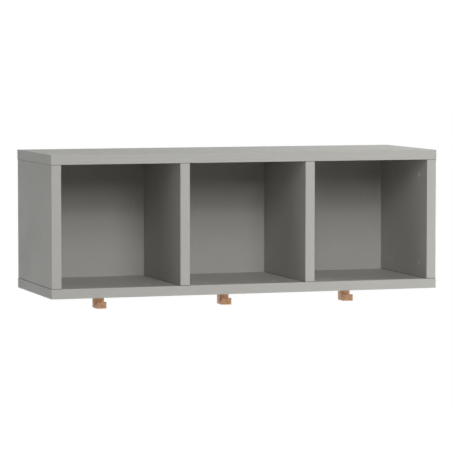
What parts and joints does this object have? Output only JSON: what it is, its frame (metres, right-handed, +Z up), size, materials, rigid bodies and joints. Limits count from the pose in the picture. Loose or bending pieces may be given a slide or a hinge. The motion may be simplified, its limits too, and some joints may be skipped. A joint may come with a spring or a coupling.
{
  "type": "wall shelf with hooks",
  "caption": "Wall shelf of square open compartments side by side between full-width top and bottom boards, with a recessed back panel and J-shaped oak coat hooks underneath.",
  "frame": {"origin": "middle of the top board's rear edge, in the plane of the wall", "axes": "+X along the shelf to the right as seen from the front, +Y into the wall, +Z up; the front faces -Y"},
  "size_m": [1.041, 0.352, 0.4083],
  "materials": {
    "board": "light grey melamine facing with a fine print grain, matt, edges banded to match",
    "back": "warm grey lacquered hardboard, matt",
    "oak": "oiled oak, open grain along the lip and shank",
    "cam_zinc": "die-cast zinc, as cast",
    "steel": "bright zinc plate",
    "beech": "fluted beech, untreated",
    "cap_plastic": "moulded, fine matt"
  },
  "bodies": {
    "root": {"top_board": "board", "bottom_board": "board", "left_end_panel": "board", "divider_1": "board", "divider_2": "board", "right_end_panel": "board", "back_panel": "back", "left_end_panel_bottom_front_cam": "cam_zinc", "left_end_panel_bottom_rear_cam": "cam_zinc", "left_end_panel_top_front_cam": "cam_zinc", "left_end_panel_top_rear_cam": "cam_zinc", "divider_1_bottom_front_cam": "cam_zinc", "divider_1_bottom_rear_cam": "cam_zinc", "divider_1_top_front_cam": "cam_zinc", "divider_1_top_rear_cam": "cam_zinc", "divider_2_bottom_front_cam": "cam_zinc", "divider_2_bottom_rear_cam": "cam_zinc", "divider_2_top_front_cam": "cam_zinc", "divider_2_top_rear_cam": "cam_zinc", "right_end_panel_bottom_front_cam": "cam_zinc", "right_end_panel_bottom_rear_cam": "cam_zinc", "right_end_panel_top_front_cam": "cam_zinc", "right_end_panel_top_rear_cam": "cam_zinc", "left_end_panel_bottom_front_bolt": "steel", "left_end_panel_bottom_rear_bolt": "steel", "left_end_panel_top_front_bolt": "steel", "left_end_panel_top_rear_bolt": "steel", "divider_1_bottom_front_bolt": "steel", "divider_1_bottom_rear_bolt": "steel", "divider_1_top_front_bolt": "steel", "divider_1_top_rear_bolt": "steel", "divider_2_bottom_front_bolt": "steel", "divider_2_bottom_rear_bolt": "steel", "divider_2_top_front_bolt": "steel", "divider_2_top_rear_bolt": "steel", "right_end_panel_bottom_front_bolt": "steel", "right_end_panel_bottom_rear_bolt": "steel", "right_end_panel_top_front_bolt": "steel", "right_end_panel_top_rear_bolt": "steel", "hook_1_screw": "steel", "hook_2_screw": "steel", "hook_3_screw": "steel", "left_hanger_plate": "steel", "right_hanger_plate": "steel", "left_hanger_upper_screw": "steel", "left_hanger_lower_screw": "steel", "right_hanger_upper_screw": "steel", "right_hanger_lower_screw": "steel", "left_end_panel_bottom_dowel": "beech", "left_end_panel_top_dowel": "beech", "right_end_panel_bottom_dowel": "beech", "right_end_panel_top_dowel": "beech", "hook_1": "oak", "hook_2": "oak", "hook_3": "oak", "floor_cap_1": "cap_plastic", "floor_cap_2": "cap_plastic", "floor_cap_3": "cap_plastic", "floor_cap_4": "cap_plastic"}
  },
  "joints": []
}
